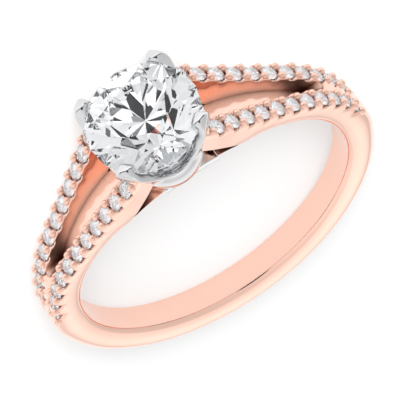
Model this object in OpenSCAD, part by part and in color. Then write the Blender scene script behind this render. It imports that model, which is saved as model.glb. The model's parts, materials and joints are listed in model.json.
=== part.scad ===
// Split shank ring: rose gold shank with four stone set arms, white gold four claw cup, round brilliant.
// The shapes are worked out upright: x across the shoulders, y up to the stone, z along the finger.
// lying() then lays the ring on its side, as it rests on a table, with its origin in the finger hole.

/* [Finger hole and shank] */
// Radius of the finger hole
bore_r = 8.65; // [7.5:0.05:10]
// Metal thickness of the plain band, hole to outside
band_t = 1.95; // [1.75:0.05:2.3]
// Half the width of the plain band
band_half = 1.15; // [1:0.05:1.35]
// Metal thickness at the last small stones, hole to outside
arm_t = 1.65; // [1.45:0.05:1.75]
// Metal thickness of a shoulder, hole to its flat
shoulder_t = 1.21; // [1.1:0.01:1.35]
// Angle of the flat of a shoulder, from the stone
shoulder_angle = 45; // [43:1:47]

/* [Split arms] */
// Width of one arm
arm_w = 1.24; // [1.16:0.02:1.34]
// Distance of a row of small stones from the middle, at the shank end
row_start = 0.715; // [0.7:0.005:0.8]
// How far a row spreads from there to its first stone at the head
row_spread = 1.26; // [1:0.02:1.5]
// Thickness of the rail under the slots, along the finger hole
rail_t = 0.4; // [0.3:0.05:0.6]
// Angle of the end of a slot, from the stone
slot_end_a = 63.5; // [60:0.5:67]

/* [Small stones] */
// Small stones in a row
row_count = 11; // [8:1:11]
// Diameter of a small stone
small_d = 1; // [0.9:0.02:1.04]
// Distance between small stones
pitch = 1.16; // [1.14:0.01:1.18]
// How far the first small stones tuck in under the main stone's girdle
tuck = 0.14; // [0.1:0.01:0.2]
// Radius of a metal bead between two small stones
bead_r = 0.17; // [0.12:0.01:0.18]

/* [Main stone and head] */
// Diameter of the main stone
stone_d = 6.5; // [6:0.1:6.8]
// Height of the main stone's girdle above the top of the finger hole
girdle_rise = 3.9; // [3.8:0.05:4.2]
// Outer radius of the cup at the top of the finger hole
cup_foot_r = 2.5; // [2.3:0.02:2.6]
// Thickness of the cup's wall
cup_wall = 0.5; // [0.4:0.05:0.6]
// Radius of the hole in the cup's floor
cup_hole_r = 1.2; // [0.8:0.1:1.5]
// How far the claws stand outside the girdle
claw_out = 0.45; // [0.35:0.05:0.55]
// Half the width of the arched window between two claws
window_half = 2.15; // [2:0.05:2.2]
// End of the head's foot on the rail, on the side of the left arms
foot_left = 1.2; // [1:0.1:1.4]
// End of the head's foot on the rail, on the side of the right arms
foot_right = 2.1; // [1.8:0.1:2.3]

/* [Gaps] */
// Gap between the head and the shank
joint_gap = 0.03; // [0.02:0.01:0.05]
// Gap between a stone and its seat
seat_gap = 0.03; // [0.02:0.01:0.05]

/* [Hidden] */
$fn = 64;
rose = "#e9b59b";
white = "#d8dbdf";
clear = "#eaf2f7";
far = 40;

stone_r = stone_d / 2;
small_r = small_d / 2;
girdle_h = bore_r + girdle_rise;

// Outline of the shank, seen along the finger
arm_r = bore_r + arm_t;
shoulder_d = bore_r + shoulder_t;
// An arc runs from the flat of the shoulder past the last small stones, tangent to a round at its end
arc_x = (arm_r - shoulder_d) / (1 - sin(shoulder_angle));
arc_r = arm_r - arc_x;
// Turning point from flat to arc
turn = [arc_x + arc_r * sin(shoulder_angle), arc_r * cos(shoulder_angle)];

// Radius of the arms' outline at angle a from the stone, and of the whole outline, 0 to 180
function arm_outline(a) =
    a < atan2(turn[0], turn[1]) ? shoulder_d / cos(a - shoulder_angle)
    : a < 90 ? arc_x * sin(a) + sqrt(pow(arc_r, 2) - pow(arc_x * cos(a), 2))
    : arm_r;
function outline(a) = arm_outline(a) + (band_t - arm_t) * ease((a - swell_a) / 17);

function clamp(k) = max(0, min(1, k));
function ease(k) = let (c = clamp(k)) c * c * (3 - 2 * c);
function mix(a, b, k) = a + (b - a) * k;

// The first small stones stand in a circle round the cup
first_r = stone_r + small_r - tuck;
first_x = sqrt(pow(first_r, 2) - pow(row_start + row_spread, 2));
// The rows spread with the square of the height above the hole's centre
first_h = turn[1] + (turn[0] - first_x) / tan(90 - shoulder_angle);
function row_z(h) = row_start + row_spread * pow(max(h, 0) / first_h, 2);
// From its last small stones the shank swells to the thickness of the plain band
last_stone = along(row_count - 1);
swell_a = atan2(last_stone[0], last_stone[1]) - 2;
side_max = row_z(first_h) + arm_w / 2 + 0.06;
crotch_h = outline(slot_end_a) * cos(slot_end_a);

// Half the shank's width at angle a: outside of the arms in front, the plain band at the back
function half_width(a) =
    a < 90 ? min(side_max, row_z(outline(a) * cos(a)) + arm_w / 2)
    : mix(row_z(0) + arm_w / 2, band_half, ease((a - 90) / 45));

// The section, from finger hole to top, as shares of thickness and of half width:
// [arm thickness, arm width, band thickness, band width]
SECTION = [
    [-0.15, 0.90, -0.15, 0.54],
    [ 0.04, 0.94,  0.03, 0.70],
    [ 0.12, 0.98,  0.10, 0.86],
    [ 0.25, 1.00,  0.22, 0.96],
    [ 0.55, 1.00,  0.48, 1.00],
    [ 0.80, 1.00,  0.68, 0.91],
    [ 0.95, 0.99,  0.84, 0.70],
    [ 1.00, 0.94,  0.95, 0.42],
];
// The side of an arm leans in towards the finger hole by this much beside the head
lean = 0.3;
// The arm's section turns into the band's over 45 degrees, from a little before the last small stones
row_end = along(row_count - 0.5);
blend_a = atan2(row_end[0], row_end[1]) - 18;

function section_point(a, row) =
    let (k = ease((a - blend_a) / 45),
         t = outline(a) - bore_r,
         s = mix(row[0], row[2], k),
         w = half_width(a) - lean * clamp(1 - s) * ease((28 - a) / 16))
    [bore_r + t * s, w * mix(row[1], row[3], k)];

// One section at angle turned, from 0 to 360, all round from one side to the other
function section(turned) =
    let (a = turned > 180 ? 360 - turned : turned,
         side = [for (row = SECTION) section_point(a, row)],
         top = [outline(a), 0],
         n = len(side),
         all = concat(side, [top], [for (i = [n - 1:-1:0]) [side[i][0], -side[i][1]]]))
    [for (p = all) [p[0] * sin(turned), p[0] * cos(turned), p[1]]];

ring_steps = 72;

// Faces of a ring of closed sections, m points each
function ring_faces(n, m) =
    [for (j = [0:n - 1], i = [0:m - 1])
        let (a = j * m + i, b = j * m + (i + 1) % m,
             c = ((j + 1) % n) * m + (i + 1) % m, d = ((j + 1) % n) * m + i)
        each [[a, b, c], [a, c, d]]];

module blank() {
    m = 2 * len(SECTION) + 1;
    points = [for (j = [0:ring_steps - 1]) each section(j * 360 / ring_steps)];
    polyhedron(points, ring_faces(ring_steps, m));
}

module lying() {
    rotate([-rest_tilt, 0, 0]) rotate([0, 0, 180]) children();
}

// Places a child at small stone i of a row, its axis square to the metal; half steps are between stones
function along(i) =
    let (run = i * pitch,
         flat = (turn[0] - first_x) / sin(90 - shoulder_angle),
         past = max(0, run - flat) * 180 / (PI * arc_r),
         up = 90 - shoulder_angle - past)
    run < flat ? [first_x + run * sin(90 - shoulder_angle), first_h - run * cos(90 - shoulder_angle),
                  90 - shoulder_angle]
    : [arc_x + arc_r * cos(up), arc_r * sin(up), up];

module at_stone(i, side, face) {
    p = along(i);
    translate([side * p[0], p[1], face * row_z(p[1])])
        rotate([0, 0, side > 0 ? p[2] : 180 - p[2]]) rotate([0, 90, 0]) children();
}

small_sink = 0.06;
small_crown = 0.16 * small_d;
small_pavilion = 0.42 * small_d;
small_girdle = 0.03 * small_d;

// Octagonal brilliant: table, crown, girdle and point, with its table at height 0
module small_stone() {
    n = 8;
    ring = function(r, z) [for (i = [0:n - 1]) [r * cos(i * 45), r * sin(i * 45), z]];
    points = concat(ring(0.56 * small_r, 0), ring(small_r, -small_crown),
                    ring(small_r, -small_crown - small_girdle),
                    [[0, 0, -small_crown - small_girdle - small_pavilion]]);
    band = function(k) [for (i = [0:n - 1])
        let (a = k * n + i, b = k * n + (i + 1) % n) each [[a, b, b + n], [a, b + n, a + n]]];
    polyhedron(points, concat([[for (i = [n - 1:-1:0]) i]], band(0), band(1),
                              [for (i = [0:n - 1]) [2 * n + i, 2 * n + (i + 1) % n, 3 * n]]));
}

module row_of_stones(side, face) {
    for (i = [0:row_count - 1]) at_stone(i, side, face) translate([0, 0, small_sink]) small_stone();
}

// Drilled seat of one small stone, a cone below a straight hole; the turn keeps its start line off the notch
module seat() {
    depth = small_crown + small_girdle + seat_gap;
    r = small_r + seat_gap;
    rotate([0, 0, 40]) {
        translate([0, 0, small_sink - depth]) cylinder(r = r, h = depth + small_d);
        translate([0, 0, small_sink - depth - small_pavilion])
            cylinder(r1 = r / 4, r2 = r, h = small_pavilion);
    }
}

notch_r = 0.3 * small_d;
// Beads stand at the edges of an arm
bead_out = arm_w / 2 - bead_r - 0.03;

// Arched notch through the walls beside each stone
module notches() {
    for (side = [-1, 1], i = [0:row_count - 1]) {
        p = along(i);
        translate([side * p[0], p[1], 0]) cylinder(r = notch_r, h = far, center = true);
    }
}

module seats() {
    for (side = [-1, 1], face = [-1, 1], i = [0:row_count - 1]) at_stone(i, side, face) seat();
}

// Pairs of beads after each stone of a row; the head stands before the first one
module beads() {
    for (side = [-1, 1], face = [-1, 1], i = [0:row_count - 1], out = [-1, 1])
        at_stone(i + 0.5, side, face) translate([out * bead_out, 0, -bead_r / 8]) sphere(r = bead_r);
}

// Slots between the arms, open outwards and closed by the rail
module slots() {
    end_r = row_z(crotch_h) - arm_w / 2;
    steps = 10;
    heights = [for (i = [0:steps]) mix(crotch_h, girdle_h + crown + 1, i / steps)];
    wall = [for (h = heights) [h, row_z(h) - arm_w / 2]];
    back = [for (i = [steps:-1:0]) [wall[i][0], -wall[i][1]]];
    difference() {
        rotate([90, 0, 90]) linear_extrude(far, center = true) union() {
            polygon(concat(wall, back));
            translate([crotch_h, 0]) circle(r = end_r);
        }
        cylinder(r = bore_r + rail_t, h = far, center = true);
    }
}

// Lens shaped openings below the arms beside the head, seen along the finger
opening_a = asin((cup_foot_r + 0.9) / bore_r);
opening_top = [cup_foot_r - 0.6, shoulder_d + 0.19];
function rail_top(a) = bore_r + rail_t * (1 - pow(a / opening_a, 2) / 2);
module side_openings() {
    steps = 12;
    rail = [for (i = [-steps:steps])
        let (a = i * opening_a / steps, r = rail_top(abs(a))) [r * sin(a), r * cos(a)]];
    linear_extrude(far, center = true)
        polygon(concat(rail, [opening_top, [-opening_top[0], opening_top[1]]]));
}

// Main stone, as shares of its diameter
girdle_t = 0.03 * stone_d;
pavilion = 0.43 * stone_d;
crown = 0.152 * stone_d;
table_r = 0.28 * stone_d;

// Cup of the head: a bowl that just clears the first small stones and opens out into the claws
stone_room = 0.08;
cup_top_r = first_r - small_r - stone_room;
function cup_r(h) =
    mix(cup_foot_r, cup_top_r, 1 - pow(1 - min(1, (h - bore_r) / (first_h - bore_r)), 1.5));
// The bowl goes on down past the edge of the finger hole
foot_h = sqrt(pow(bore_r, 2) - pow(cup_foot_r, 2)) - 0.2;
claw_r = stone_r + claw_out;
claw_top = girdle_h + crown - 0.12;

// Outside of the bowl and the claws
function cup_side(gap) = concat(
    [[cup_r(foot_h) + gap, foot_h]],
    [for (k = [0.1, 0.3, 0.6, 1]) let (h = mix(bore_r, first_h, k)) [cup_r(h) + gap, h]],
    [[claw_r - 0.3 * claw_out + gap, girdle_h - claw_out], [claw_r + gap, girdle_h + girdle_t / 2]]);

// Everything that the head takes from the shank
module head_room() {
    upper = [[claw_r + 2 * claw_out, claw_top + 1], [0, claw_top + 1], [0, foot_h]];
    rotate([-90, 0, 0]) rotate_extrude() polygon(concat(cup_side(joint_gap), upper));
}

// Part of the rail between two sideways places
module rail_piece(from, to, width, gap) {
    intersection() {
        translate([from - gap, 0, -width / 2]) cube([to - from + 2 * gap, far, width]);
        cylinder(r = bore_r + rail_t + gap, h = far, center = true);
    }
}

module bore() {
    cylinder(r = bore_r, h = far, center = true);
}

module shank() {
    color(rose) lying() union() {
        difference() {
            blank();
            bore();
            slots();
            side_openings();
            head_room();
            rail_piece(-foot_left, foot_right, far, joint_gap);
            notches();
            seats();
        }
        beads();
    }
}

// Arched window between two claws, cut through the cup from side to side
module window() {
    centre_h = girdle_h + 0.2 * window_half;
    wide = 1.15 * window_half;
    linear_extrude(far, center = true) union() {
        translate([0, centre_h]) circle(r = window_half);
        polygon([[-window_half, centre_h], [window_half, centre_h],
                 [wide, claw_top + 0.3], [-wide, claw_top + 0.3]]);
    }
}

// Wall of the cup with its claws, before the windows are cut
module cup_wall_ring() {
    crown_slope = crown / (stone_r - table_r);
    lip = 0.8 * claw_out;
    bearing = girdle_h - girdle_t / 2 - seat_gap;
    above = girdle_h + girdle_t / 2 + 1.4 * seat_gap;
    inside = [
        [claw_r - 0.25 * claw_out, claw_top - 0.1],
        [stone_r + 0.1 * claw_out, claw_top],
        [stone_r - 0.6 * claw_out, claw_top - 0.08],
        [stone_r - lip, above + lip * crown_slope],
        [stone_r + seat_gap, above],
        [stone_r + seat_gap, bearing],
        [stone_r - 0.6 * cup_wall, bearing - 0.6 * cup_wall],
        [cup_top_r - cup_wall, first_h],
        [cup_r(foot_h) - cup_wall, foot_h],
    ];
    rotate([-90, 0, 0]) rotate_extrude() polygon(concat(cup_side(0), inside));
}

// Floor of the cup, along the finger hole
module cup_floor() {
    intersection() {
        rotate([-90, 0, 0]) cylinder(r = cup_foot_r - cup_wall / 2, h = far);
        cylinder(r = bore_r + rail_t, h = far, center = true);
    }
}

// Half the width of the head's foot, as wide as the rail that it continues
foot_half = half_width(0) - 0.8 * lean;

module head() {
    color(white) lying() difference() {
        union() {
            difference() {
                cup_wall_ring();
                window();
                rotate([0, 90, 0]) window();
            }
            difference() {
                union() {
                    rail_piece(-foot_left, foot_right, 2 * foot_half, 0);
                    cup_floor();
                }
                rotate([-90, 0, 0]) cylinder(r = cup_hole_r, h = far);
            }
        }
        bore();
    }
}

// Round brilliant with 57 facets, its girdle at height 0
module brilliant(r) {
    up = girdle_t / 2;
    crown_slope = crown / (r - table_r);
    pavilion_slope = (pavilion - up) / r;
    star_r = 0.79 * r;
    lower_r = 0.24 * r;
    ring = function(d, z, from) [for (i = [0:7]) [d * cos(i * 45 + from), d * sin(i * 45 + from), z]];
    star_z = up + crown - (star_r * cos(22.5) - table_r) * crown_slope;
    lower_z = -up - (r - lower_r * cos(22.5)) * pavilion_slope;
    rim = function(z) [for (i = [0:15]) [r * cos(i * 22.5), r * sin(i * 22.5), z]];
    points = concat(ring(table_r, up + crown, 0), ring(star_r, star_z, 22.5), rim(up), rim(-up),
                    ring(lower_r, lower_z, 22.5), [[0, 0, -up - r * pavilion_slope]]);
    faces = concat(
        [[7, 6, 5, 4, 3, 2, 1, 0]],
        [for (i = [0:7]) let (n = (i + 1) % 8) each [
            [i, n, 8 + i],
            [i, 8 + i, 16 + 2 * i], [n, 16 + 2 * n, 8 + i],
            [8 + i, 17 + 2 * i, 16 + 2 * i], [8 + i, 16 + 2 * n, 17 + 2 * i],
            [48 + i, 32 + 2 * i, 33 + 2 * i], [48 + i, 33 + 2 * i, 32 + 2 * n],
            [56, 32 + 2 * i, 48 + i], [56, 48 + i, 32 + 2 * n]]],
        [for (i = [0:15]) let (n = (i + 1) % 16) each [
            [16 + i, 16 + n, 32 + n], [16 + i, 32 + n, 32 + i]]]);
    polyhedron(points, faces);
}

module centre_stone() {
    color(clear) lying() translate([0, girdle_h, 0]) rotate([-90, 0, 0]) brilliant(stone_r);
}

module stones_left_front() { color(clear) lying() row_of_stones(-1, 1); }
module stones_left_back() { color(clear) lying() row_of_stones(-1, -1); }
module stones_right_front() { color(clear) lying() row_of_stones(1, 1); }
module stones_right_back() { color(clear) lying() row_of_stones(1, -1); }

// Lying on its side, the ring touches the table with the girdle and with the back of the band
rest_tilt = atan((stone_r - band_half) / (girdle_h + bore_r + band_t / 2));

shank();
head();
centre_stone();
stones_left_front();
stones_left_back();
stones_right_front();
stones_right_back();
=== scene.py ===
import json
import math
import bmesh
import bpy
import numpy as np
from mathutils import Matrix, Vector


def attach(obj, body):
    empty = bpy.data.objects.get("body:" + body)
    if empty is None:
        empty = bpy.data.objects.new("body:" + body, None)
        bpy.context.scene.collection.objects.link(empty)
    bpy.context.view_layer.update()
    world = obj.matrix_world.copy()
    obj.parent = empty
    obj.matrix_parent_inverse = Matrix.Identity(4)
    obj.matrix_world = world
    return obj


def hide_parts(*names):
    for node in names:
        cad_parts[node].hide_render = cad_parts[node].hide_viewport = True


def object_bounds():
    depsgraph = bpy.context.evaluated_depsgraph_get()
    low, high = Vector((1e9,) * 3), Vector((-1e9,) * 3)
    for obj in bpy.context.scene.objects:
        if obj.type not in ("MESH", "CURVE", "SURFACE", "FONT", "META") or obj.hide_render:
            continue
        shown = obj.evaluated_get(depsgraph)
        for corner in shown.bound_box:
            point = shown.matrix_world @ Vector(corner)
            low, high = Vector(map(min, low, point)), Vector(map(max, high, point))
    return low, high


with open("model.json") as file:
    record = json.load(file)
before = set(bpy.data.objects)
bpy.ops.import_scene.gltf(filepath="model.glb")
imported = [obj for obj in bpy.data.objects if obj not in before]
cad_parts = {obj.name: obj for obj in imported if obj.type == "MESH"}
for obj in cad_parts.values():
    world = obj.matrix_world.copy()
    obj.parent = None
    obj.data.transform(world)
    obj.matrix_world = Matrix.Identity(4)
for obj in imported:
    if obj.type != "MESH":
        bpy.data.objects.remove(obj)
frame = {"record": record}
cad_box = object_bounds()

# Shank
# One casting in 18 carat rose gold, polished: a plain round edged band behind, two arms on each side in
# front, and a thin rail along the finger hole that closes the slots between the arms. The arms are castle
# cut: every stone has a drilled seat, an arched notch through the walls and pairs of beads beside it.
finger_hole = frame["record"]["mounts"][0]
axis = Vector(finger_hole["axis"]).normalized()
MM = 0.001
# Sizes in millimetres: _t is a thickness, _w a width, _r a radius and _h a height from the hole's middle
bore_r = finger_hole["dims"]["r_mm"]
band_t = 1.95
band_half = 1.15
arm_t = 1.65
shoulder_t = 1.21
arm_w = 1.24
row_start = 0.715
row_spread = 1.26
rail_t = 0.4
slot_end_a = math.radians(63.5)
row_count = 11
small_r = 0.5
pitch = 1.16
first_r = 3.61
foot_left = 1.2
foot_right = 2.1
foot_gap = 0.03
cup_foot_r = 2.5
girdle_h = bore_r + 3.9
lean = 0.3
notch_r = 0.3
seat_r = 0.53
seat_rim_t = 0.16
seat_cone_t = 0.42
between_t = 0.24
corner_r = 0.05
roof_min_t = 0.35
crown_t = 0.16
top_crown_t = 0.04
let_in = 0.04
notch_fade_t = 0.75
wall_fade_t = 0.6
# Shares of the thickness, from the finger hole outwards: where the band is widest, where its top starts to
# round over, and where the arms' crowned flanks are widest
band_belly = 0.48
dome_from = 0.952
flank_belly = 0.6
# Share of the way over an arm's top to the slot, from where its edge rounds off
corner_f = 0.94
# Degrees round from the main stone: where each change of the section starts or ends, and how long it is
crown_from, crown_over = 16, 20
lean_until, lean_over = 28, 16
round_from, round_over = 64.3, 45
thick_from, thick_over = 77, 17
narrow_from, narrow_over = 90, 45
# The least step that stays open when points are merged
hair = 0.004

arm_r = bore_r + arm_t
shoulder_d = bore_r + shoulder_t
half_turn = math.sqrt(0.5)
arc_x = (arm_r - shoulder_d) / (1 - half_turn)
arc_r = arm_r - arc_x
turn_x = arc_x + arc_r * half_turn
turn_h = arc_r * half_turn
first_x = math.sqrt(first_r ** 2 - (row_start + row_spread) ** 2)
first_h = turn_h + turn_x - first_x
flat_run = (turn_x - first_x) / half_turn
arc_run = arc_r * math.pi / 4
last_run = flat_run + arc_run + arm_r * math.pi / 2
opening_a = math.asin((cup_foot_r + 0.9) / bore_r)
opening_top = (cup_foot_r - 0.6, shoulder_d + 0.19)
cup_top_r = first_r - small_r - 0.08


def lay(x, h, z):
    """From the upright ring in mm, x across, h to the stone, z along the finger, to the table's frame."""
    x, h, z = (np.asarray(c, float) for c in (x, h, z))
    return np.stack([-x, -h * axis.z + z * axis.y, h * axis.y + z * axis.z], axis=-1) * MM


def ease(k):
    """From 0 to 1 with a soft start and end."""
    k = np.clip(k, 0, 1)
    return k * k * (3 - 2 * k)


def mix(a, b, k):
    """From a to b by the share k."""
    return a + (b - a) * k


def row_z(h):
    """The middle of an arm, out from the ring's middle: the arms spread as they rise to the head."""
    return row_start + row_spread * (np.maximum(h, 0) / first_h) ** 2


def path(run):
    """Place on the shank's outline at a distance from the first small stone: x, h and the normal's angle."""
    run = np.asarray(run, float)
    arc_up = math.pi / 4 - (run - flat_run) / arc_r
    band_up = -(run - flat_run - arc_run) / arm_r
    flat = run < flat_run
    arc = run < flat_run + arc_run
    round_x = np.where(arc, arc_x + arc_r * np.cos(arc_up), arm_r * np.cos(band_up))
    round_h = np.where(arc, arc_r * np.sin(arc_up), arm_r * np.sin(band_up))
    x = np.where(flat, first_x + run * half_turn, round_x)
    h = np.where(flat, first_h - run * half_turn, round_h)
    up = np.where(flat, math.pi / 4, np.where(arc, arc_up, band_up))
    return x, h, up


def cup_radius(h):
    """The head's outside, where the arms end."""
    k = np.minimum(1, (h - bore_r) / (first_h - bore_r))
    bowl = mix(cup_foot_r, cup_top_r, 1 - (1 - k) ** 1.5)
    flare = np.interp(h, [first_h, girdle_h - 0.45, girdle_h + 0.1], [0, 0.535, 0.67])
    return bowl + flare


def seat_drop(run, across):
    """How deep the castle cut goes below the arm's top, from the notches, the seats and the gaps between."""
    near = np.clip(np.round(run / pitch), 0, row_count - 1)
    along = run - near * pitch
    slot_side_share = np.interp(across, [-0.5, 0], [0.5, 1])
    notch = np.sqrt(np.maximum(0, notch_r ** 2 - along ** 2)) * slot_side_share
    rho = np.hypot(along, across)
    seat = np.where(rho < seat_r, seat_rim_t + seat_cone_t * (1 - rho / seat_r), 0)
    between = between_t * ease((0.34 - np.abs(across)) / 0.16) * ease((0.66 - np.abs(along)) / 0.05)
    return notch, np.maximum(seat, between)


# The slot ends in a half round of its own half width
crotch = path(np.linspace(0, last_run, 4000))
crotch_i = np.argmin(np.abs(np.arctan2(crotch[0], crotch[1]) - slot_end_a))
end_r = float(row_z(crotch[1][crotch_i]) - arm_w / 2)
h_end = float(crotch[1][crotch_i]) - end_r
crotch_h = h_end + end_r
# The arms' outer flanks spread no further than this beside the head
side_max = float(row_z(first_h)) + arm_w / 2 + 0.06


def slot_half(h):
    """Half width of the slot between the two arms."""
    wall = row_z(h) - arm_w / 2
    end = np.sqrt(np.maximum(0, end_r ** 2 - (crotch_h - h) ** 2))
    return np.where(h > crotch_h, wall, np.where(h > h_end, end, 0))


def shank_half(h_top, turned):
    """Greatest half width of the shank, over the arms and then round the band."""
    w_arm = row_z(h_top) + arm_w / 2
    w_arm = (w_arm + side_max - np.hypot(w_arm - side_max, 0.1)) / 2
    w_band = mix(row_z(0) + arm_w / 2, band_half, ease((turned - narrow_from) / narrow_over))
    return np.where(turned < narrow_from, w_arm, w_band)


def flank_half(s, w, turned, blend):
    """Half width at share s of the thickness, a rounded box on the arms and a D on the band."""
    low = 0.9 + 0.1 * np.sqrt(1 - (1 - np.clip(s / 0.3, 0, 1)) ** 2)
    high = 0.06 * (1 - np.sqrt(1 - np.clip((s - 0.9) / 0.1, 0, 1) ** 2))
    edge = np.sqrt(1 - (1 - np.clip(s / 0.11, 0, 1)) ** 2)
    inner = 0.6 + 0.15 * edge + 0.25 * np.sin(math.pi / 2 * np.clip(s / band_belly, 0, 1))
    outer = 1 - np.sqrt(1 - np.clip((s - band_belly) / (1 - band_belly), 0, 1) ** 2)
    leaning = lean * np.clip(1 - s, 0, 1) * ease((lean_until - turned) / lean_over)
    below = np.clip((flank_belly - s) / flank_belly, 0, 1)
    above = np.clip((s - flank_belly) / (1 - flank_belly), 0, 1)
    crown = (crown_t * below ** 2 + top_crown_t * above ** 2) * (1 - blend)
    crown_share = ease((turned - crown_from) / crown_over)
    return (w - leaning) * mix(low - high, inner - outer, blend) - crown * crown_share


def opening_roof(a, rail, r_top):
    """Radius of the arms' underside over the opening beside the head, which ends in a tip on the rail."""
    tip = bore_r * np.array([math.sin(opening_a), math.cos(opening_a)]) * (1 + rail_t / 2 / bore_r)
    edge = np.array(opening_top) - tip
    roof = (tip[0] * edge[1] - tip[1] * edge[0]) / (np.sin(a) * edge[1] - np.cos(a) * edge[0])
    past_tip = np.minimum(1, (a - opening_a) / 0.1)
    roof = np.where(a < opening_a, np.maximum(roof, rail), rail + corner_r * past_tip)
    return np.minimum(roof, r_top - roof_min_t)


def shank_lines(run, lines):
    """Points of the lengthwise lines of a quarter of the shank; run has a row of distances for each line."""
    x_top, h_top, up = path(run)
    a = np.arctan2(x_top, h_top)
    turned = np.degrees(a)
    r_top = np.hypot(x_top, h_top) + (band_t - arm_t) * ease((turned - thick_from) / thick_over)
    t = r_top - bore_r
    blend = ease((turned - round_from) / round_over)
    w = shank_half(h_top, turned)
    rail = bore_r + rail_t * (1 - np.minimum(a / opening_a, 1) ** 2 / 2)
    roof = opening_roof(a, rail, r_top)
    floor = bore_r + rail_t
    s_top = mix(1, dome_from, blend)
    r, z, drop_share = np.zeros_like(a), np.zeros_like(a), np.zeros_like(a)
    for j, (kind, f) in enumerate(lines):
        if kind == "bore":
            r[j] = bore_r
            z[j] = flank_half(0, w[j], turned[j], blend[j]) * f
        elif kind in ("low", "high"):
            r[j] = mix(bore_r, rail[j], f) if kind == "low" else mix(roof[j], bore_r + t[j] * s_top[j], f)
            z[j] = flank_half((r[j] - bore_r) / t[j], w[j], turned[j], blend[j])
            if kind == "high":
                drop_share[j] = np.clip(1 - (r_top[j] - r[j]) / notch_fade_t, 0, 1)
        elif kind == "top":
            z_in = slot_half(h_top[j])
            z[j] = mix(flank_half(s_top[j], w[j], turned[j], blend[j]), z_in, f)
            rounded = np.sqrt(1 - np.clip(z[j] / w[j], 0, 1) ** 2)
            dome = bore_r + t[j] * (band_belly + (1 - band_belly) * rounded)
            corner = corner_r * np.clip((f - corner_f) / (1 - corner_f), 0, 1) ** 2 * (z_in > 0)
            r[j] = mix(r_top[j], dome, blend[j]) - corner
            drop_share[j] = 1
        elif kind == "wall":
            foot = np.maximum(floor + hair * (a[j] < opening_a), roof[j])
            r[j] = mix(r_top[j] - corner_r, foot, f)
            z[j] = slot_half(r[j] * np.cos(a[j]))
            drop_share[j] = np.clip(1 - (r_top[j] - r[j]) / wall_fade_t, 0, 1)
        else:
            r[j] = floor
            z[j] = slot_half(floor * np.cos(a[j])) * (1 - f)
    notch, seat = seat_drop(run, z - row_z(h_top))
    in_row = ease((run + 0.7) / 0.1) * ease((row_count * pitch - 0.5 - run) / 0.1)
    on_top = np.array([kind == "top" for kind, f in lines])[:, None]
    drop = np.where(on_top, np.maximum(notch, seat), notch) * drop_share * in_row
    return r * np.sin(a) - drop * np.cos(up), r * np.cos(a) - drop * np.sin(up), z


# The lines of a quarter, each with its share of the way over its surface
shank_rows = (
    [("bore", f) for f in (0, 0.25, 0.5, 0.75, 0.9, 0.98, 1)]
    + [("low", f) for f in (0.01, 0.04, 0.09, 0.15, 0.22, 0.35, 0.6, 1)]
    + [("high", f) for f in (0, 0.12, 0.25, 0.38, 0.5, 0.62, 0.73, 0.82, 0.89, 0.94, 0.975, 0.992)]
    + [("top", f) for f in np.linspace(0, corner_f, 17).tolist() + [0.965, 0.985, 1]]
    + [("wall", f) for f in (0, 0.07, 0.16, 0.27, 0.4, 0.55, 0.7, 0.85, 1)]
    + [("floor", f) for f in (0, 0.33, 0.67, 1)])
kinds = [k for k, f in shank_rows]
# Distances along the shank: close together over the row of stones, and wider round the band
runs = np.concatenate([
    np.arange(-1.0, row_count * pitch + 0.1, pitch / 20),
    np.linspace((row_count * pitch + 0.2) ** 0.5, last_run ** 0.5, 60) ** 2])


def shank_quarter(rail_from):
    """One quarter, x and z positive. Its lines start just in the head's cup, or where its foot ends."""
    n = len(shank_rows)
    tries = np.tile(np.linspace(-2.2, 1.2, 900), (n, 1))
    x, h, z = shank_lines(tries, shank_rows)
    outside = np.hypot(x, z) - cup_radius(h) + let_in
    start = np.empty(n)
    for j, (kind, f) in enumerate(shank_rows):
        bad = outside[j] < 0
        if kind in ("bore", "low", "floor"):
            bad = bad | (x[j] < rail_from)
        last = np.nonzero(bad)[0]
        start[j] = tries[j][last[-1] + 1] if len(last) else -1.0
    upto = np.maximum(start + 0.3, -0.36)
    grid = np.tile(runs, (n, 1))
    share = (grid - runs[0]) / (upto[:, None] - runs[0])
    moved = start[:, None] + (upto - start)[:, None] * share
    grid = np.where(grid < upto[:, None], moved, grid)
    return shank_lines(grid, shank_rows)


def shank_faces(x, h, z):
    """Quads between the lines, the sides of the opening beside the head, and the ends in the cup."""
    n, m = x.shape
    number = np.arange(n * m).reshape(n, m)
    high, wall, floor = (kinds.index(k) for k in ("high", "wall", "floor"))
    low_end, wall_end = high - 1, floor - 1
    out = np.hypot(x, h)
    beside_head = np.arctan2(x[high], h[high]) < opening_a
    open_outside = beside_head & (out[high] > out[low_end] + hair)
    shut = int(np.argmin(open_outside))
    faces = []
    for j in range(n - 1):
        for i in range(m - 1):
            past_slot = j >= wall - 1 and not z[j:j + 2, i:i + 2].any()
            if past_slot:
                continue
            near, far = j, j + 1
            if open_outside[i] and j == low_end:
                far = floor
            if open_outside[i] and j == wall_end:
                near, far = high, wall_end
            faces.append((number[near, i], number[far, i], number[far, i + 1], number[near, i + 1]))
    # The ends in the cup, of the rail and of the arm, and the tip of the opening between them
    faces.append(tuple(number[list(range(0, high)) + list(range(floor, n)), 0]))
    faces.append(tuple(number[list(range(high, floor)), 0]))
    faces.append(tuple(number[[low_end, high, wall_end, floor], shut]))
    return faces


def mesh_object(name, points, faces, material, smooth=True):
    """A piece in the scene from its points, in metres, and its faces."""
    mesh = bpy.data.meshes.new(name)
    mesh.from_pydata([tuple(p) for p in points], [], [tuple(int(i) for i in f) for f in faces])
    mesh.validate()
    mesh.polygons.foreach_set("use_smooth", [smooth] * len(mesh.polygons))
    piece = bpy.data.objects.new(name, mesh)
    bpy.context.scene.collection.objects.link(piece)
    mesh.materials.append(material)
    return piece


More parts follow.
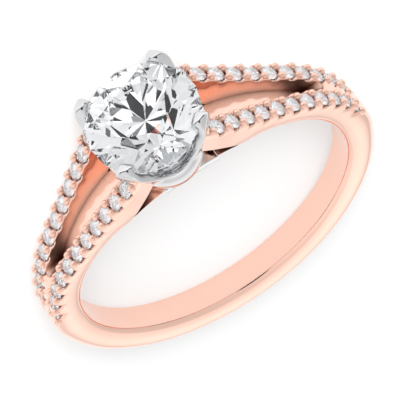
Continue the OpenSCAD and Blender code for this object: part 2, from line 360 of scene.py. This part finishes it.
def weld(piece, distance, sharp=38):
    """Merges points that lie together, turns all faces outwards and keeps edges over sharp degrees sharp."""
    bm = bmesh.new()
    bm.from_mesh(piece.data)
    bmesh.ops.remove_doubles(bm, verts=bm.verts, dist=distance)
    bmesh.ops.dissolve_degenerate(bm, edges=bm.edges, dist=distance / 4)
    bmesh.ops.recalc_face_normals(bm, faces=bm.faces)
    bm.to_mesh(piece.data)
    bm.free()
    piece.data.set_sharp_from_angle(angle=math.radians(sharp))
    piece.data.update()


def polish_and_shade_group():
    """Buffing marks and wear of polished gold, and painted shade: a roughness, a fine height, a tone, and
    shares from 0 deep in a recess to 1 out in the open, from what lies within 0.9 mm for Crevice and 2 mm
    for Open.
    The shares darken the colour as painted shade, and Open also dulls the roughness."""
    group = bpy.data.node_groups.new("gold polish", "ShaderNodeTree")
    face = group.interface
    for label, value in (("Roughness", 0.1), ("Wear", 0.06), ("Mark Scale", 900.0)):
        socket = face.new_socket(label, in_out="INPUT", socket_type="NodeSocketFloat")
        socket.default_value = value
    for label in ("Roughness", "Height", "Tone", "Open", "Crevice"):
        face.new_socket(label, in_out="OUTPUT", socket_type="NodeSocketFloat")
    new, link = group.nodes.new, group.links.new
    given, out = new("NodeGroupInput"), new("NodeGroupOutput")
    where = new("ShaderNodeTexCoord")
    cloud = new("ShaderNodeTexNoise")
    cloud.inputs["Scale"].default_value = 420.0
    cloud.inputs["Detail"].default_value = 4.0
    marks = new("ShaderNodeTexNoise")
    marks.inputs["Detail"].default_value = 3.0
    scaled = new("ShaderNodeMath")
    scaled.operation = "MULTIPLY_ADD"
    dull = new("ShaderNodeMix")
    dull.inputs["A"].default_value = 0.4
    link(where.outputs["Object"], cloud.inputs["Vector"])
    link(where.outputs["Object"], marks.inputs["Vector"])
    link(given.outputs["Mark Scale"], marks.inputs["Scale"])
    link(cloud.outputs["Fac"], scaled.inputs[0])
    link(given.outputs["Wear"], scaled.inputs[1])
    link(given.outputs["Roughness"], scaled.inputs[2])
    link(dull.outputs["Result"], out.inputs["Roughness"])
    link(marks.outputs["Fac"], out.inputs["Height"])
    link(cloud.outputs["Fac"], out.inputs["Tone"])
    # Ambient occlusion: how shut in each point is, for the painted shade in recesses and crevices
    for label, reach, low, high in (("Crevice", 0.0009, 0.4, 0.7), ("Open", 0.002, 0.38, 0.8)):
        recess_shade = new("ShaderNodeAmbientOcclusion")
        recess_shade.samples = 6
        recess_shade.only_local = True
        recess_shade.inputs["Distance"].default_value = reach
        opened = new("ShaderNodeMapRange")
        opened.inputs["From Min"].default_value = low
        opened.inputs["From Max"].default_value = high
        link(recess_shade.outputs["AO"], opened.inputs["Value"])
        link(opened.outputs["Result"], out.inputs[label])
    link(opened.outputs["Result"], dull.inputs["Factor"])
    link(scaled.outputs[0], dull.inputs["B"])
    return group


polish_and_shade = polish_and_shade_group()


def gold(name, light, deep, recess_shade, crevice_shade, roughness=0.04, wear=0.03, bump=0.03):
    """Polished gold: two near tones that the wear mixes, and the colours of the painted shade in its
    recesses and crevices.
    """
    material = bpy.data.materials.new(name)
    material.use_nodes = True
    tree = material.node_tree
    shader = tree.nodes["Principled BSDF"]
    shader.inputs["Metallic"].default_value = 1.0
    polish_shade = tree.nodes.new("ShaderNodeGroup")
    polish_shade.node_tree = polish_and_shade
    polish_shade.inputs["Roughness"].default_value = roughness
    polish_shade.inputs["Wear"].default_value = wear
    tones = tree.nodes.new("ShaderNodeMix")
    tones.data_type = "RGBA"
    tones.inputs["A"].default_value = (*light, 1)
    tones.inputs["B"].default_value = (*deep, 1)
    lift = tree.nodes.new("ShaderNodeBump")
    lift.inputs["Strength"].default_value = bump
    lift.inputs["Distance"].default_value = 0.00002
    # Painted shade: the colour darkens towards the recess colour where the gold is shut in within 2 mm, and
    # towards the crevice colour within 0.9 mm
    with_recess_shade = tree.nodes.new("ShaderNodeMix")
    with_recess_shade.data_type = "RGBA"
    with_recess_shade.inputs["A"].default_value = (*recess_shade, 1)
    tree.links.new(polish_shade.outputs["Tone"], tones.inputs["Factor"])
    tree.links.new(polish_shade.outputs["Open"], with_recess_shade.inputs["Factor"])
    tree.links.new(tones.outputs["Result"], with_recess_shade.inputs["B"])
    with_crevice_shade = tree.nodes.new("ShaderNodeMix")
    with_crevice_shade.data_type = "RGBA"
    with_crevice_shade.inputs["A"].default_value = (*crevice_shade, 1)
    tree.links.new(polish_shade.outputs["Crevice"], with_crevice_shade.inputs["Factor"])
    tree.links.new(with_recess_shade.outputs["Result"], with_crevice_shade.inputs["B"])
    tree.links.new(with_crevice_shade.outputs["Result"], shader.inputs["Base Color"])
    tree.links.new(polish_shade.outputs["Roughness"], shader.inputs["Roughness"])
    tree.links.new(polish_shade.outputs["Height"], lift.inputs["Height"])
    tree.links.new(lift.outputs["Normal"], shader.inputs["Normal"])
    return material


# Its recess and crevice colours are painted shade: brown to near black where the slots and seats shut the
# gold in
rose_gold = gold("rose gold", light=(0.98, 0.655, 0.545), deep=(0.96, 0.61, 0.49),
                 recess_shade=(0.96, 0.77, 0.68), crevice_shade=(0.15, 0.04, 0.02))

shank_points, shank_all = [], []
for side, foot_end in ((1, foot_right), (-1, foot_left)):
    x, h, z = shank_quarter(foot_end + foot_gap)
    faces = shank_faces(x, h, z)
    for face_side in (1, -1):
        base = sum(len(p) for p in shank_points)
        shank_points.append(lay(side * x, h, face_side * z).reshape(-1, 3))
        mirrored = side * face_side < 0
        shank_all += [tuple(base + i for i in (f[::-1] if mirrored else f)) for f in faces]
shank = mesh_object("shank_body", np.concatenate(shank_points), shank_all, rose_gold)
weld(shank, distance=2e-6)
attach(shank, "root")
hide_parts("shank")

# Beads
# Grains of the arms' own metal, raised and rounded with a beading tool in pairs between two stones, so
# that they hold the stones' edges. They are rose gold like the arms.
bead_r = 0.24
bead_edge = 0.04
bead_out = arm_w / 2 - bead_r - bead_edge


def set_on_points():
    """Geometry Nodes: one small shape on every point, its z axis along the point's facing, each twisted
    about that axis by its own part of Twist, in radians."""
    tree = bpy.data.node_groups.new("set on points", "GeometryNodeTree")
    face = tree.interface
    for label, kind in (("Geometry", "Geometry"), ("Shape", "Object"), ("Twist", "Float"), ("Seed", "Int"),
                        ("Material", "Material")):
        face.new_socket(label, in_out="INPUT", socket_type="NodeSocket" + kind)
    face.new_socket("Geometry", in_out="OUTPUT", socket_type="NodeSocketGeometry")
    new, link = tree.nodes.new, tree.links.new
    given, out = new("NodeGroupInput"), new("NodeGroupOutput")
    shape = new("GeometryNodeObjectInfo")
    facing = new("GeometryNodeInputNamedAttribute")
    facing.data_type = "FLOAT_VECTOR"
    facing.inputs["Name"].default_value = "facing"
    upright = new("FunctionNodeAlignRotationToVector")
    upright.axis = "Z"
    chance = new("FunctionNodeRandomValue")
    twist = new("ShaderNodeCombineXYZ")
    turned = new("FunctionNodeRotateRotation")
    turned.rotation_space = "LOCAL"
    placed = new("GeometryNodeInstanceOnPoints")
    real = new("GeometryNodeRealizeInstances")
    finish = new("GeometryNodeSetMaterial")
    link(given.outputs["Shape"], shape.inputs["Object"])
    link(facing.outputs["Attribute"], upright.inputs["Vector"])
    link(given.outputs["Twist"], chance.inputs[3])
    link(given.outputs["Seed"], chance.inputs["Seed"])
    link(chance.outputs[1], twist.inputs["Z"])
    link(upright.outputs["Rotation"], turned.inputs["Rotation"])
    link(twist.outputs["Vector"], turned.inputs["Rotate By"])
    link(given.outputs["Geometry"], placed.inputs["Points"])
    link(shape.outputs["Geometry"], placed.inputs["Instance"])
    link(turned.outputs["Rotation"], placed.inputs["Rotation"])
    link(placed.outputs["Instances"], real.inputs["Geometry"])
    link(real.outputs["Geometry"], finish.inputs["Geometry"])
    link(given.outputs["Material"], finish.inputs["Material"])
    link(finish.outputs["Geometry"], out.inputs["Geometry"])
    return tree


set_tree = set_on_points()


def place_shapes(name, places, facings, values):
    """A piece made of one small shape on many places, kept as a plain mesh."""
    piece = mesh_object(name, np.array(places), [], values["Material"])
    facing = piece.data.attributes.new("facing", "FLOAT_VECTOR", "POINT")
    facing.data.foreach_set("vector", np.array(facings, float).ravel())
    modifier = piece.modifiers.new("set", "NODES")
    modifier.node_group = set_tree
    for item in set_tree.interface.items_tree:
        if item.item_type == "SOCKET" and item.in_out == "INPUT" and item.name in values:
            modifier[item.identifier] = values[item.name]
    bpy.context.view_layer.update()
    done = bpy.data.meshes.new_from_object(piece.evaluated_get(bpy.context.evaluated_depsgraph_get()))
    piece.modifiers.clear()
    piece.data = done
    return piece


def on_arm(side, face_side, i, across, above):
    """Place and facing on an arm, at step i of its row of stones, beside the row and above the arm's top."""
    x, h, up = path(i * pitch)
    place = lay(side * (x + above * np.cos(up)), h + above * np.sin(up), face_side * (row_z(h) + across))
    return place, lay(side * np.cos(up), np.sin(up), 0) / MM


ball = bmesh.new()
bmesh.ops.create_icosphere(ball, subdivisions=3, radius=bead_r * MM)
# The grains' recess and crevice colours are painted shade where a grain is shut in
grain_gold = gold("rose gold grains", light=(0.98, 0.655, 0.545), deep=(0.95, 0.6, 0.48),
                  recess_shade=(0.7, 0.45, 0.36), crevice_shade=(0.3, 0.14, 0.1), roughness=0.22, wear=0.1, bump=0.2)
bead_shape = mesh_object("bead shape", [v.co for v in ball.verts],
                         [[v.index for v in f.verts] for f in ball.faces], grain_gold)
ball.free()
# A pair after each stone, and one more at the outside of each arm's first stone
bead_spots = [on_arm(side, face_side, i + 0.5, across, -bead_r / 8)
              for side in (1, -1) for face_side in (1, -1)
              for i in range(-1, row_count) for across in (-bead_out, bead_out) if i >= 0 or across > 0]
beads = place_shapes("beads", *zip(*bead_spots),
                     {"Shape": bead_shape, "Twist": 6.28, "Seed": 1, "Material": grain_gold})
bpy.data.objects.remove(bead_shape)
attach(beads, "root")

# Head
# A cup with four claws, cast in 18 carat white gold and soldered into the shank: its floor and its foot
# continue the rail along the finger hole. Between each two claws the cup's edge dips in an arch, and each
# claw is rounded off and pressed over the stone's edge.
# Its recess and crevice colours are painted shade, inside the cup and under the claws
white_gold = gold("white gold", light=(0.73, 0.73, 0.74), deep=(0.66, 0.665, 0.675),
                  recess_shade=(0.6, 0.6, 0.61), crevice_shade=(0.2, 0.2, 0.205))
cup_wall = 0.5
cup_hole_r = 1.2
ledge_r = 3.28
ledge_h = girdle_h - 0.13
claw_from_h = 12.6
claw_over_h = 0.6
floor_edge_r = 0.05
foot_edge_r = 0.07
foot_edge_cut = 0.02
# The cup's edge from the middle of an arch to the middle of a claw: degrees round, and how high it stands
column_a = [0, 9, 18, 25, 30, 33, 35, 36.5, 38.5, 41, 45]
edge_h = [10.83, 10.9, 11.09, 11.37, 11.77, 12.15, 12.7, 13.14, 13.33, 13.41, 13.43]


def cup_inside(h):
    """The cup's inside, up to the ledge under the stone's girdle."""
    return np.interp(h, [8.0, bore_r, first_h, 11.6, ledge_h - 0.3, ledge_h],
                     [1.9, cup_foot_r - cup_wall, cup_top_r - cup_wall, 2.75, 2.95, ledge_r])


def claw_column(angle, top):
    """The wall at one angle round the cup, from the foot up the outside, over the edge and down inside."""
    bottom = math.sqrt(bore_r ** 2 - ((cup_foot_r - 0.1) * math.cos(angle)) ** 2)
    over = ease((top - claw_from_h) / claw_over_h)
    outer_top = top - mix(0.06, 0.28, over)
    inner_top = min(top - 0.06, ledge_h)
    out_h = mix(bottom, outer_top, np.array([0, 0.02, 0.15, 0.32, 0.5, 0.66, 0.8, 0.92, 1]))
    ins_h = mix(bottom, inner_top, np.array([1, 0.9, 0.75, 0.55, 0.35, 0.15, 0.02, 0]))
    points = [(float(cup_radius(h)), h) for h in out_h]
    r_out, r_in = float(cup_radius(top)), float(cup_inside(min(top, ledge_h)))
    # Over the edge: plain between the claws, and pressed over the stone's edge on a claw
    simple = [(r_out - 0.08, top), (mix(r_out, r_in, 0.5), top + 0.02), (r_in + 0.08, top),
              (r_in + 0.02, top - 0.02), (r_in, top - 0.04)]
    hooked = [(r_out - 0.06, top - 0.08), (3.42, top + 0.02), (3.1, top), (2.93, top - 0.2), (2.9, 12.97)]
    points += [(mix(a[0], b[0], over), mix(a[1], b[1], over)) for a, b in zip(simple, hooked)]
    points.append((mix(r_in, ledge_r, over), mix(top - 0.05, girdle_h + 0.14, over)))
    return points + [(float(cup_inside(h)), h) for h in ins_h]


def foot_column(angle):
    """The floor and foot at one angle round the hole in the floor, on the round of the finger hole."""
    right, across = math.cos(angle), abs(math.sin(angle))
    wide = foot_right if right > 0 else foot_left
    reach = max(cup_foot_r - cup_wall / 2, min(wide / max(abs(right), 1e-6), foot_half / max(across, 1e-6)))
    lower = [(cup_hole_r, floor_edge_r), (cup_hole_r + floor_edge_r, 0), (reach - foot_edge_r, 0),
             (reach - foot_edge_cut, foot_edge_cut), (reach, foot_edge_r)]
    rounded = lower + [(r, rail_t - up) for r, up in lower[::-1]]
    return [(r, math.sqrt((bore_r + up) ** 2 - (r * right) ** 2)) for r, up in rounded]


def columns_mesh(angles, columns):
    """Points and faces of a closed ring of upright columns, each a closed loop of radius and height."""
    points = np.array([(r * math.cos(a), h, r * math.sin(a)) for a, column in zip(angles, columns)
                       for r, h in column])
    n, m = len(columns), len(columns[0])
    faces = [(j * m + i, ((j + 1) % n) * m + i, ((j + 1) % n) * m + (i + 1) % m, j * m + (i + 1) % m)
             for j in range(n) for i in range(m)]
    return lay(*points.T), faces


foot_half = side_max - 0.8 * lean
to_claw = list(zip(column_a, edge_h))
whole_arch = [(-a, top) for a, top in to_claw[:0:-1]] + to_claw[:-1]
cup_angles, cup_columns = [], []
for quarter_turn in range(4):
    for a, top in whole_arch:
        cup_angles.append(math.radians(quarter_turn * 90 + a))
        cup_columns.append(claw_column(cup_angles[-1], top))
corners = [math.atan2(z, x) for x in (foot_right, -foot_left) for z in (foot_half, -foot_half)]
foot_angles = sorted(set(np.radians(np.arange(-177, 181, 3)).tolist() + corners))
cup = mesh_object("head_cup", *columns_mesh(cup_angles, cup_columns), white_gold)
foot_columns = [foot_column(a) for a in foot_angles]
foot = mesh_object("head_foot", *columns_mesh(foot_angles, foot_columns), white_gold)
for piece in (cup, foot):
    weld(piece, distance=1e-7)
    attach(piece, "root")
rounding = cup.modifiers.new("rounding", "SUBSURF")
rounding.levels = rounding.render_levels = 2
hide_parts("head")

# Main stone
# A round brilliant of one carat, 57 facets, held by the four claws above the cup's inner edge.
# It is diamond, so it bends light far more than glass does.
stone_r = 3.25
stone_drop = 0.03


def diamond_of(name, colour, mirror, clear=1.0):
    """Diamond; mirror is how much its front facets shine, and clear how much of the light goes into it."""
    material = bpy.data.materials.new(name)
    material.use_nodes = True
    shader = material.node_tree.nodes["Principled BSDF"]
    shader.inputs["Base Color"].default_value = (*colour, 1)
    shader.inputs["Roughness"].default_value = 0.0
    shader.inputs["IOR"].default_value = 2.42
    shader.inputs["Transmission Weight"].default_value = clear
    shader.inputs["Specular Tint"].default_value = (mirror, mirror, mirror, 1)
    return material


def brilliant(r, girdle, turn, pavilion_slope):
    """Points and faces of a round brilliant of 57 facets, its girdle at height 0 and its point down."""
    table, star, lower = 0.505 * r, 0.765 * r, 0.303 * r
    crown_slope = 0.328 / 0.495
    flat = math.cos(math.pi / 8)
    up = girdle / 2
    table_z = up + (r - table) * crown_slope
    star_z = table_z - (star * flat - table) * crown_slope
    lower_z = -up - (r - lower * flat) * pavilion_slope
    points = []
    for ring_r, z, count, first in ((table, table_z, 8, 0), (star, star_z, 8, 0.5), (r, up, 16, 0),
                                    (r, -up, 16, 0), (lower, lower_z, 8, 0.5)):
        for i in range(count):
            a = (i + first) * 2 * math.pi / count + turn
            points.append((ring_r * math.cos(a), ring_r * math.sin(a), z))
    points.append((0, 0, -up - r * pavilion_slope))
    faces = [tuple(range(8))]
    for i in range(8):
        n = (i + 1) % 8
        rim, mid, end = 16 + 2 * i, 17 + 2 * i, 16 + 2 * n
        faces += [(i, 8 + i, n), (i, rim, 8 + i), (n, 8 + i, end), (8 + i, rim, mid), (8 + i, mid, end),
                  (48 + i, mid + 16, rim + 16), (48 + i, end + 16, mid + 16),
                  (56, 48 + i, rim + 16), (56, end + 16, 48 + i)]
    faces += [(16 + i, 32 + i, 32 + (i + 1) % 16, 16 + (i + 1) % 16) for i in range(16)]
    return np.array(points), faces


diamond = diamond_of("diamond", (0.9, 0.915, 0.93), mirror=0.15)
points, faces = brilliant(stone_r, girdle=0.1, turn=math.radians(-4.3), pavilion_slope=0.932)
stone_points = lay(points[:, 0], girdle_h - stone_drop + points[:, 2], -points[:, 1])
main_stone = mesh_object("main_stone_cut", stone_points, faces, diamond)
weld(main_stone, distance=1e-7, sharp=1)
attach(main_stone, "root")
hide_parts("centre_stone")

# Small stones
# Forty four round brilliants of one millimetre, eleven down each arm, dropped into their seats and held
# by the beads. They are diamond too; so small, they look finer and greyer than the main stone.
table_above = 0.06
small_diamond = diamond_of("small diamond", (0.93, 0.94, 0.97), mirror=0.7, clear=0.86)
points, faces = brilliant(small_r, girdle=0.03, turn=0, pavilion_slope=0.83)
stone_shape = mesh_object("stone shape", (points - [0, 0, points[:, 2].max()]) * MM, faces, small_diamond)
weld(stone_shape, distance=1e-8, sharp=1)
for side_name, side in (("right", 1), ("left", -1)):
    for face_name, face_side in (("front", 1), ("back", -1)):
        node = f"stones_{side_name}_{face_name}"
        spots = [on_arm(side, face_side, i, 0, table_above) for i in range(row_count)]
        row = place_shapes(node + "_cut", *zip(*spots),
                           {"Shape": stone_shape, "Twist": 0.8, "Seed": 7, "Material": small_diamond})
        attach(row, "root")
        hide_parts(node)
bpy.data.objects.remove(stone_shape)

# Table, light and camera
# The ring lies on its side on a white table in soft light from all round, seen from above the stone.
floor_z = cad_box[0][2]
floor_half = 3
paper = bpy.data.materials.new("white table")
paper.use_nodes = True
shader = paper.node_tree.nodes["Principled BSDF"]
shader.inputs["Base Color"].default_value = (0.35, 0.35, 0.35, 1)
shader.inputs["Roughness"].default_value = 0.9
shader.inputs["Emission Color"].default_value = (1, 1, 1, 1)
shader.inputs["Emission Strength"].default_value = 0.43
floor_corners = [(x * floor_half, y * floor_half, floor_z)
                 for x, y in ((-1, -1), (1, -1), (1, 1), (-1, 1))]
table = mesh_object("table", floor_corners, [(0, 1, 2, 3)], paper, smooth=False)

# The camera was fitted to the photograph: its place and its axes by the upright ring
eye = lay(-1.51, 195.11, 105.51)
right = lay(0.82186, -0.2675, 0.50298)
down = lay(-0.56964, -0.39696, 0.71967)
forward = lay(0.00715, -0.87799, -0.47862)
camera = bpy.data.cameras.new("camera")
camera.lens = 360
camera.sensor_width = 36
camera.clip_start = 0.05
viewer = bpy.data.objects.new("camera", camera)
view_axes = Matrix((np.array([right, -down, -forward]).T / MM).tolist())
viewer.matrix_world = Matrix.Translation(eye) @ view_axes.to_4x4()
bpy.context.scene.collection.objects.link(viewer)
bpy.context.scene.camera = viewer

# Soft light from all round, brighter on the photograph's left and in a soft box half way up behind the
# ring, and dark in a round patch just under the camera and low down on the camera's side
world = bpy.data.worlds.new("soft room")
bpy.context.scene.world = world
world.use_nodes = True
tree = world.node_tree
where = tree.nodes.new("ShaderNodeTexCoord")
part = tree.nodes.new("ShaderNodeSeparateXYZ")
tree.links.new(where.outputs["Generated"], part.inputs["Vector"])


def world_ramp(value, low, high, stops):
    """Colours along a value between low and high."""
    spread = tree.nodes.new("ShaderNodeMapRange")
    spread.inputs["From Min"].default_value = low
    spread.inputs["From Max"].default_value = high
    ramp = tree.nodes.new("ShaderNodeValToRGB")
    while len(ramp.color_ramp.elements) < len(stops):
        ramp.color_ramp.elements.new(0.5)
    for element, (place, colour) in zip(ramp.color_ramp.elements, stops):
        element.position = (place - low) / (high - low)
        element.color = (*colour, 1)
    tree.links.new(value, spread.inputs["Value"])
    tree.links.new(spread.outputs["Result"], ramp.inputs["Fac"])
    return ramp.outputs["Color"]


def world_mix(kind, factor, a, b):
    """Two colours blended; each value given is a number, a colour or a node's output."""
    mixed = tree.nodes.new("ShaderNodeMix")
    mixed.data_type = "RGBA"
    mixed.blend_type = kind
    for value, socket in ((factor, "Factor"), (a, "A"), (b, "B")):
        if isinstance(value, (float, tuple)):
            mixed.inputs[socket].default_value = (*value, 1) if isinstance(value, tuple) else value
        else:
            tree.links.new(value, mixed.inputs[socket])
    return mixed.outputs["Result"]


def world_spot(towards, low, high, stops):
    """A soft round patch in one direction, its stops between two cosines."""
    cosine = tree.nodes.new("ShaderNodeVectorMath")
    cosine.operation = "DOT_PRODUCT"
    cosine.inputs[1].default_value = Vector(towards).normalized()
    tree.links.new(where.outputs["Generated"], cosine.inputs[0])
    return world_ramp(cosine.outputs["Value"], low, high, stops)


def grey(value):
    """The same share of red, green and blue."""
    return (value, value, value)


walls = world_ramp(part.outputs["Z"], 0, 1,
                   [(0, grey(0.8)), (0.15, grey(0.87)), (0.5, grey(0.92)), (1, grey(0.86))])
soft_box = world_spot((0, 0.79, 0.616), 0.8, 1, [(0.82, grey(0)), (0.99, grey(1))])
sideways = world_ramp(part.outputs["X"], -1, 1, [(-0.8, grey(0.84)), (0.8, grey(1.16))])
dark_patch = world_spot((0, -0.94, 0.34), 0.9, 1, [(0.965, grey(1)), (0.98, grey(0.03))])
low_down = world_ramp(part.outputs["Z"], 0.1, 0.2, [(0.13, (0.05, 0.055, 0.055)), (0.17, grey(1))])
far_side = world_ramp(part.outputs["Y"], -0.4, 0.1, [(-0.35, grey(0)), (0.05, grey(1))])
room = world_mix("MIX", soft_box, walls, grey(1.33))
for share in (sideways, dark_patch, world_mix("LIGHTEN", 1.0, low_down, far_side)):
    room = world_mix("MULTIPLY", 1.0, room, share)
background = tree.nodes["Background"]
tree.links.new(room, background.inputs["Color"])
background.inputs["Strength"].default_value = 1.0

light = bpy.data.lights.new("key", "AREA")
light.size = 0.22
light.energy = 4.2
lamp = bpy.data.objects.new("key", light)
lamp.location = (-0.03, -0.32, 0.13)
lamp.visible_glossy = lamp.visible_transmission = False
lamp.rotation_euler = lamp.location.to_track_quat("Z", "Y").to_euler()
bpy.context.scene.collection.objects.link(lamp)

# Light turns round many times inside a cut stone
bpy.context.scene.cycles.glossy_bounces = 12
bpy.context.scene.cycles.transmission_bounces = 16
bpy.context.scene.cycles.max_bounces = 16
bpy.context.scene.view_settings.view_transform = "Standard"
